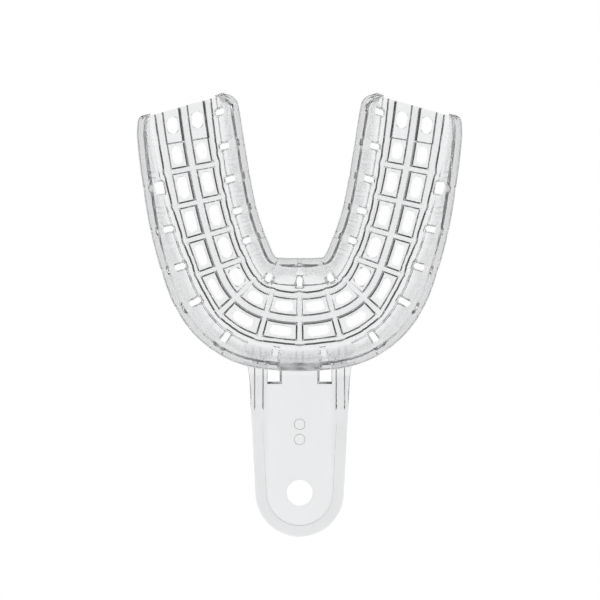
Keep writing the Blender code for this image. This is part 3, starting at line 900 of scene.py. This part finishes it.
def map_range(nodes, links, source, low, high, to_low, to_high):
    """A Map Range node from low..high to to_low..to_high, smoothed and clamped."""
    node = nodes.new("ShaderNodeMapRange")
    node.interpolation_type = "SMOOTHSTEP"
    node.inputs["From Min"].default_value = low
    node.inputs["From Max"].default_value = high
    node.inputs["To Min"].default_value = to_low
    node.inputs["To Max"].default_value = to_high
    links.new(source, node.inputs["Value"])
    return node.outputs["Result"]


def math_node(nodes, links, operation, first, second):
    """A Math node on two values, each a number or another node's output."""
    node = nodes.new("ShaderNodeMath")
    node.operation = operation
    for socket, value in zip(node.inputs, (first, second)):
        if isinstance(value, float):
            socket.default_value = value
        else:
            links.new(value, socket)
    return node.outputs[0]


def handle_edge_distance(nodes, links, split):
    """Distance from the handle's midline, or past its round end's centre, from that centre."""
    end_y = (FRONT_Y + HANDLE_END_Y) * MM
    past_end = math_node(nodes, links, "MINIMUM",
                         math_node(nodes, links, "SUBTRACT", split.outputs["Y"], end_y), 0.0)
    across = math_node(nodes, links, "MULTIPLY", split.outputs["X"], split.outputs["X"])
    along = math_node(nodes, links, "MULTIPLY", past_end, past_end)
    return math_node(nodes, links, "POWER", math_node(nodes, links, "ADD", across, along), 0.5)


def clear_plastic():
    """Clear polystyrene: polished floor and ribs, satin handle, and walls that grow hazier to the rim."""
    material = bpy.data.materials.new("clear_plastic")
    material.use_nodes = True
    nodes = material.node_tree.nodes
    links = material.node_tree.links
    shader = nodes["Principled BSDF"]
    shader.inputs["Base Color"].default_value = BASE_COLOUR
    shader.inputs["IOR"].default_value = REFRACTIVE_INDEX
    place = nodes.new("ShaderNodeTexCoord").outputs["Object"]
    split = nodes.new("ShaderNodeSeparateXYZ")
    links.new(place, split.inputs["Vector"])
    low_z, high_z = HAZE_HEIGHTS
    height = map_range(nodes, links, split.outputs["Z"], low_z * MM, high_z * MM, 0.0, 1.0)
    handle_y = (FRONT_Y + HANDLE_HAZE_Y) * MM
    handle = map_range(nodes, links, split.outputs["Y"], handle_y, handle_y - HANDLE_HAZE_RUN * MM,
                       0.0, HANDLE_HAZE)
    near, far = EDGE_HAZE_FROM
    edge = map_range(nodes, links, handle_edge_distance(nodes, links, split), near * MM, far * MM,
                     1.0, EDGE_HAZE)
    satin = math_node(nodes, links, "MAXIMUM", height, math_node(nodes, links, "MULTIPLY", handle, edge))
    flow = nodes.new("ShaderNodeTexNoise")
    flow.inputs["Scale"].default_value = FLOW_SCALE
    flow.inputs["Detail"].default_value = FLOW_DETAIL
    links.new(place, flow.inputs["Vector"])
    cloud = map_range(nodes, links, flow.outputs["Fac"], *FLOW_NOISE, *FLOW_RANGE)
    haze = math_node(nodes, links, "MULTIPLY", satin, cloud)
    transmission = map_range(nodes, links, haze, 0.0, 1.0, 1.0, HAZY_TRANSMISSION)
    links.new(transmission, shader.inputs["Transmission Weight"])
    roughness = map_range(nodes, links, haze, 0.0, 1.0, POLISHED_ROUGHNESS, HAZY_ROUGHNESS)
    links.new(roughness, shader.inputs["Roughness"])
    absorption = nodes.new("ShaderNodeVolumeAbsorption")
    absorption.inputs["Color"].default_value = ABSORPTION_COLOUR
    absorption.inputs["Density"].default_value = ABSORPTION_PER_METRE
    links.new(absorption.outputs["Volume"], nodes["Material Output"].inputs["Volume"])
    return material


# ---------------------------------------------------------------- studio

def add_floor():
    """A pale floor that glows evenly, as a light table does."""
    mesh = bpy.data.meshes.new("floor")
    half = FLOOR_HALF * MM
    corners = [(x, y, FLOOR_Z * MM) for x, y in rectangle(-half, half, -half, half)]
    mesh.from_pydata(corners, [], [(0, 1, 2, 3)])
    floor = bpy.data.objects.new("floor", mesh)
    bpy.context.scene.collection.objects.link(floor)
    material = bpy.data.materials.new("pale_floor")
    material.use_nodes = True
    shader = material.node_tree.nodes["Principled BSDF"]
    shader.inputs["Base Color"].default_value = FLOOR_COLOUR
    shader.inputs["Roughness"].default_value = FLOOR_ROUGHNESS
    shader.inputs["Specular IOR Level"].default_value = 0.0
    shader.inputs["Emission Color"].default_value = (1, 1, 1, 1)
    shader.inputs["Emission Strength"].default_value = FLOOR_GLOW
    mesh.materials.append(material)


def add_camera():
    """A camera that looks straight down from far away."""
    data = bpy.data.cameras.new("camera")
    camera = bpy.data.objects.new("camera", data)
    data.sensor_width = SENSOR_WIDTH
    data.lens = SENSOR_WIDTH * (CAMERA_HEIGHT - IN_SCALE_Z) / VIEW_WIDTH
    data.clip_start, data.clip_end = CLIP_METRES
    camera.location = (VIEW_CENTRE[0] * MM, VIEW_CENTRE[1] * MM, CAMERA_HEIGHT * MM)
    bpy.context.scene.collection.objects.link(camera)
    bpy.context.scene.camera = camera


def add_world():
    """A dim studio, darkest straight above, where the camera is."""
    world = bpy.data.worlds.new("studio")
    world.use_nodes = True
    nodes = world.node_tree.nodes
    links = world.node_tree.links
    split = nodes.new("ShaderNodeSeparateXYZ")
    links.new(nodes.new("ShaderNodeTexCoord").outputs["Generated"], split.inputs["Vector"])
    light = map_range(nodes, links, split.outputs["Z"], *WORLD_HEIGHTS, WORLD_SIDE, WORLD_TOP)
    background = nodes["Background"]
    background.inputs["Color"].default_value = (1, 1, 1, 1)
    links.new(light, background.inputs["Strength"])
    bpy.context.scene.world = world


# ---------------------------------------------------------------- scene

bpy.context.view_layer.update()
FRONT_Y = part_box("arch_floor")[0][1] / MM + curve_value(BUCCAL_EDGE, 0)

tray = make_trough()
tray.name = "impression_tray"
combine(tray, make_handle(), "UNION")
combine(tray, make_gusset(), "UNION")
for polygon in tray.data.polygons:
    polygon.use_smooth = True
tray.data.set_sharp_from_angle(angle=math.radians(SHARP_ANGLE))
tray.data.materials.clear()
tray.data.materials.append(clear_plastic())
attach(tray, "root")
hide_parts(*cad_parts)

add_floor()
add_world()
add_camera()
bpy.context.scene.view_settings.view_transform = "Standard"
bpy.context.scene.cycles.max_bounces = LIGHT_BOUNCES
bpy.context.scene.cycles.glossy_bounces = LIGHT_BOUNCES
bpy.context.scene.cycles.transmission_bounces = LIGHT_BOUNCES

bpy.context.view_layer.update()
